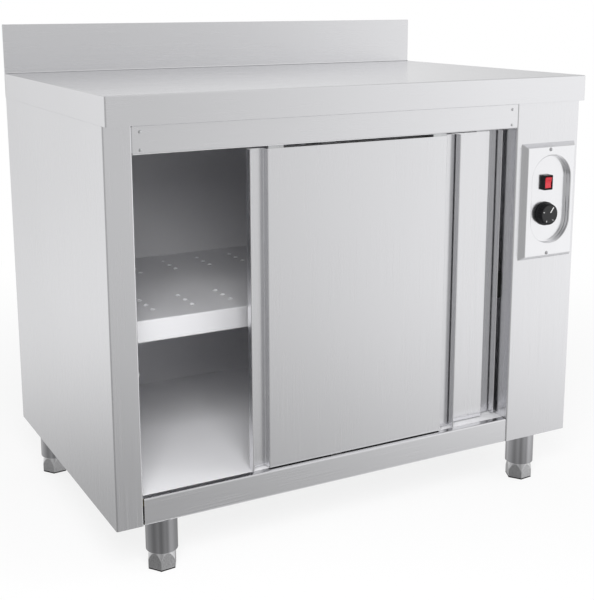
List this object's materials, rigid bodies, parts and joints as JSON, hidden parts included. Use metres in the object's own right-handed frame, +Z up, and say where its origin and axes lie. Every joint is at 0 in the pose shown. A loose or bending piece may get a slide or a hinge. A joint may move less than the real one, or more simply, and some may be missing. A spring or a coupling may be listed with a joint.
{
  "type": "plate warmer cabinet",
  "caption": "Stainless heated cupboard with hanging sliding doors, perforated shelf, worktop with splashback, levelling feet and a control column with thermostat knob and rocker switch.",
  "frame": {"origin": "on the floor under the middle of the worktop's outline, which is the bounding box's bottom centre", "axes": "+X to the right as seen from the front, +Y to the back, +Z up; the doors face -Y"},
  "size_m": [1, 0.64, 0.95],
  "materials": {
    "stainless_steel": "satin",
    "galvanised_steel": "dull galvanised",
    "black_rubber": "matt",
    "white_nylon": "matt",
    "black_plastic": "fine matt",
    "red_plastic": "gloss",
    "ivory_plastic": "matt",
    "mineral_wool": "fibrous",
    "chipboard": "raw",
    "copper_alloy": "drawn",
    "painted_motor": "satin paint",
    "cast_aluminium": "stamped"
  },
  "bodies": {
    "cabinet": {"worktop": "stainless_steel", "worktop_board": "chipboard", "top_crossbars": "galvanised_steel", "left_side_panel": "stainless_steel", "left_liner": "stainless_steel", "left_insulation": "mineral_wool", "right_side_panel": "stainless_steel", "column_front": "stainless_steel", "partition": "stainless_steel", "rear_panel": "galvanised_steel", "rear_liner": "stainless_steel", "rear_insulation": "mineral_wool", "ceiling_liner": "stainless_steel", "ceiling_insulation": "mineral_wool", "floor_liner": "stainless_steel", "floor_insulation": "mineral_wool", "base_tray": "stainless_steel", "bottom_rail": "stainless_steel", "header_rail": "stainless_steel", "header_rivets": "stainless_steel", "top_track": "galvanised_steel", "jamb_bumper": "black_rubber", "door_buffers": "white_nylon", "floor_guide": "white_nylon", "shelf": "stainless_steel", "shelf_supports": "stainless_steel", "leg_fixings": "galvanised_steel", "leg_front_left": "stainless_steel", "leg_front_right": "stainless_steel", "leg_rear_left": "stainless_steel", "leg_rear_right": "stainless_steel", "control_plate": "stainless_steel", "control_plate_screws": "stainless_steel", "switch_housing": "black_plastic", "thermostat": "ivory_plastic", "thermostat_probe": "copper_alloy", "air_duct": "galvanised_steel", "heater_element": "galvanised_steel", "fan_motor": "painted_motor", "terminal_block": "ivory_plastic", "wiring_loom": "black_plastic", "cable_gland": "black_plastic"},
    "front_door": {"front_door_skin": "stainless_steel", "front_door_back": "stainless_steel", "front_door_hangers": "stainless_steel"},
    "rear_door": {"rear_door_skin": "stainless_steel", "rear_door_back": "stainless_steel", "rear_door_hangers": "stainless_steel"},
    "front_roller_left": {"front_roller_left": "white_nylon"},
    "front_roller_right": {"front_roller_right": "white_nylon"},
    "rear_roller_left": {"rear_roller_left": "white_nylon"},
    "rear_roller_right": {"rear_roller_right": "white_nylon"},
    "knob": {"knob": "black_plastic", "thermostat_shaft": "stainless_steel"},
    "rocker": {"switch_rocker": "red_plastic"},
    "fan": {"fan_impeller": "cast_aluminium"},
    "foot_front_left": {"foot_front_left": "stainless_steel"},
    "foot_front_right": {"foot_front_right": "stainless_steel"},
    "foot_rear_left": {"foot_rear_left": "stainless_steel"},
    "foot_rear_right": {"foot_rear_right": "stainless_steel"}
  },
  "joints": [
    {"name": "front_door_slide", "type": "slide", "parent": "cabinet", "child": "front_door", "axis": [1, 0, 0], "range_m": [-0.2122, 0.1205]},
    {"name": "rear_door_slide", "type": "slide", "parent": "cabinet", "child": "rear_door", "axis": [1, 0, 0], "range_m": [-0.3327, 0]},
    {"name": "front_roller_left_spin", "type": "hinge", "parent": "front_door", "child": "front_roller_left", "pos_m": [-0.1815, -0.285, 0.78], "axis": [0, 1, 0], "continuous": true},
    {"name": "front_roller_right_spin", "type": "hinge", "parent": "front_door", "child": "front_roller_right", "pos_m": [0.1682, -0.285, 0.78], "axis": [0, 1, 0], "continuous": true},
    {"name": "rear_roller_left_spin", "type": "hinge", "parent": "rear_door", "child": "rear_roller_left", "pos_m": [-0.061, -0.26, 0.78], "axis": [0, 1, 0], "continuous": true},
    {"name": "rear_roller_right_spin", "type": "hinge", "parent": "rear_door", "child": "rear_roller_right", "pos_m": [0.2887, -0.26, 0.78], "axis": [0, 1, 0], "continuous": true},
    {"name": "knob_turn", "type": "hinge", "parent": "cabinet", "child": "knob", "pos_m": [0.422, -0.312, 0.574], "axis": [0, 1, 0], "range_deg": [-36, 234]},
    {"name": "rocker_tip", "type": "hinge", "parent": "cabinet", "child": "rocker", "pos_m": [0.422, -0.3084, 0.638], "axis": [1, 0, 0], "range_deg": [-14, 0]},
    {"name": "fan_spin", "type": "hinge", "parent": "cabinet", "child": "fan", "pos_m": [0.373, 0.02, 0.33], "axis": [1, 0, 0], "continuous": true},
    {"name": "foot_front_left_height", "type": "slide", "parent": "cabinet", "child": "foot_front_left", "axis": [0, 0, 1], "range_m": [-0.025, 0]},
    {"name": "foot_front_right_height", "type": "slide", "parent": "cabinet", "child": "foot_front_right", "axis": [0, 0, 1], "range_m": [-0.025, 0]},
    {"name": "foot_rear_left_height", "type": "slide", "parent": "cabinet", "child": "foot_rear_left", "axis": [0, 0, 1], "range_m": [-0.025, 0]},
    {"name": "foot_rear_right_height", "type": "slide", "parent": "cabinet", "child": "foot_rear_right", "axis": [0, 0, 1], "range_m": [-0.025, 0]}
  ],
  "couplings": [
    {"joint": "front_roller_left_spin", "follows": "front_door_slide", "rad_per_m": 90.909},
    {"joint": "front_roller_right_spin", "follows": "front_door_slide", "rad_per_m": 90.909},
    {"joint": "rear_roller_left_spin", "follows": "rear_door_slide", "rad_per_m": 90.909},
    {"joint": "rear_roller_right_spin", "follows": "rear_door_slide", "rad_per_m": 90.909}
  ]
}
